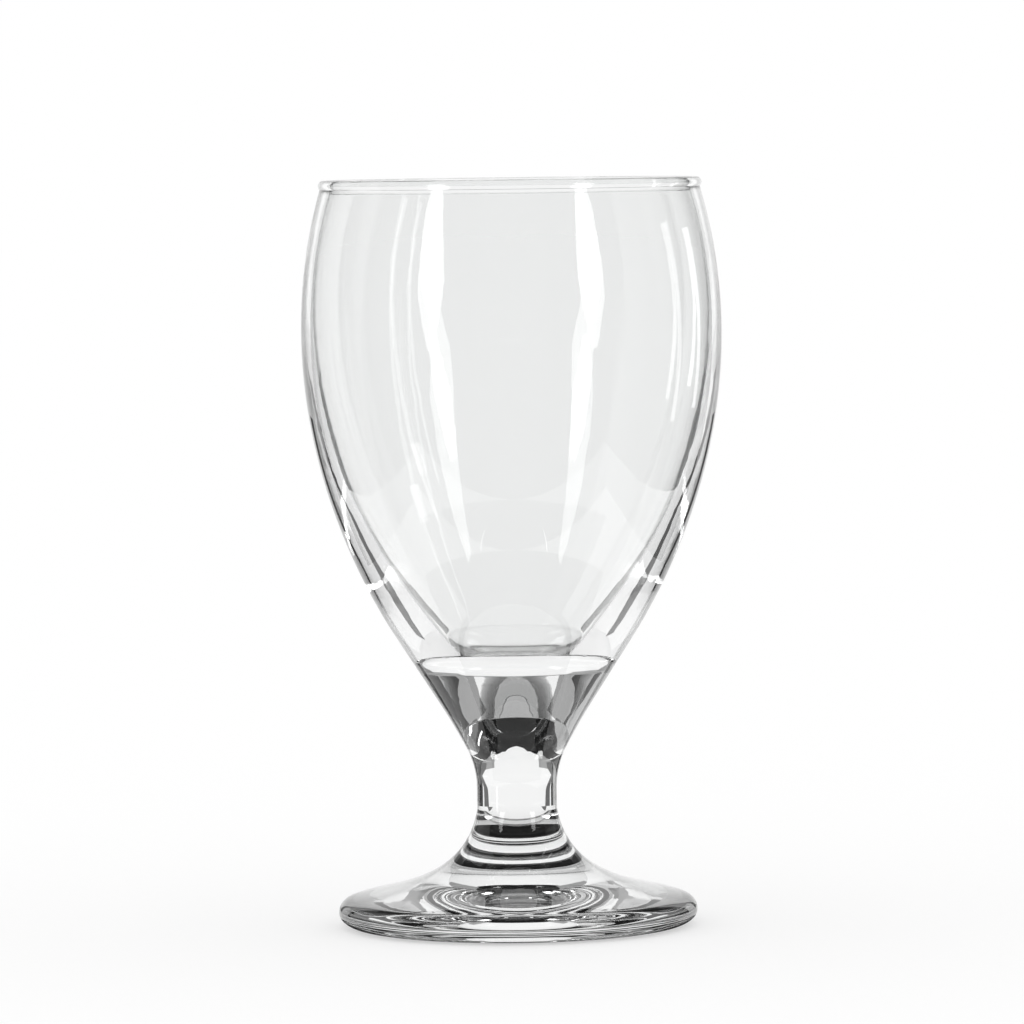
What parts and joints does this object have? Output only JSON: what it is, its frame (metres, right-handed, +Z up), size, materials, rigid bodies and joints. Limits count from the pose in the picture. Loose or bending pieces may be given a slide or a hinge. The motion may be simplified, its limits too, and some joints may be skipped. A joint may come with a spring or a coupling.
{
  "type": "water goblet",
  "caption": "Clear footed water goblet: egg-shaped bowl with a beaded rim and a solid tapered base, on a short straight stem and a round foot.",
  "frame": {"origin": "on the glass's axis, in the plane that it stands on", "axes": "+Z up along the glass's axis of revolution, towards the rim; X and Y lie in the table's plane, and every direction round the axis is alike"},
  "size_m": [0.0808, 0.0808, 0.1439],
  "materials": {
    "bowl_glass": "clear, fire polished",
    "stem_glass": "clear, polished",
    "foot_glass": "clear, pressed, slightly worn on the resting ring"
  },
  "bodies": {
    "root": {"bowl": "bowl_glass", "stem": "stem_glass", "foot": "foot_glass"}
  },
  "joints": []
}
